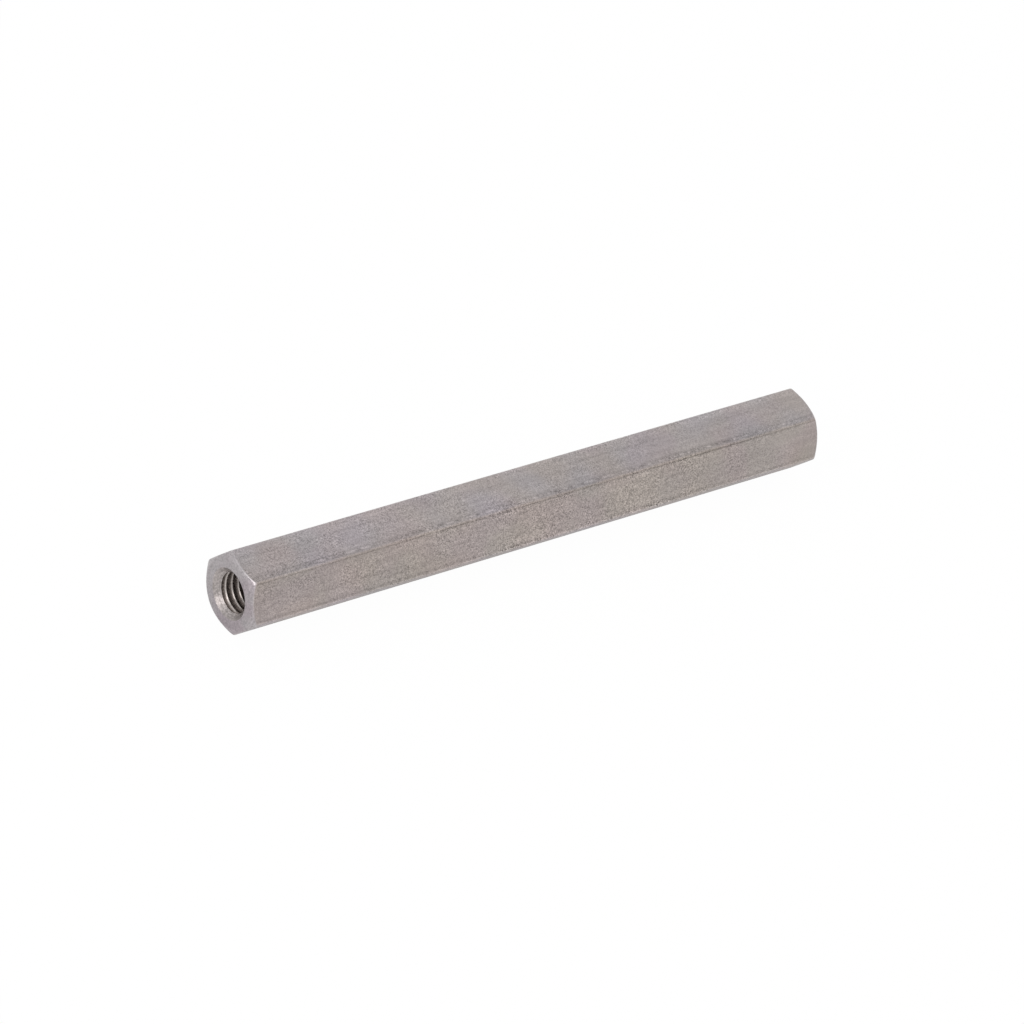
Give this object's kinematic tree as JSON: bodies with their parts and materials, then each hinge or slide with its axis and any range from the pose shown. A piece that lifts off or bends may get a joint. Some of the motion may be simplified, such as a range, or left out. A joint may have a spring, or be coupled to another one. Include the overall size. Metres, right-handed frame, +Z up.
{
  "type": "hex standoff",
  "caption": "Long hexagonal steel standoff with chamfered ends and a countersunk tapped hole in each end, for spacing panels or boards apart.",
  "frame": {"origin": "middle of the flat that the standoff lies on, halfway along its length", "axes": "+X along the standoff's axis, +Z up, square to the flat that it lies on, +Y across two opposite corners"},
  "size_m": [0.075, 0.0092, 0.008],
  "materials": {
    "steel": "matt tumbled grey steel, with turned ends and drawing lines along the bar"
  },
  "bodies": {
    "root": {"standoff": "steel"}
  },
  "joints": []
}
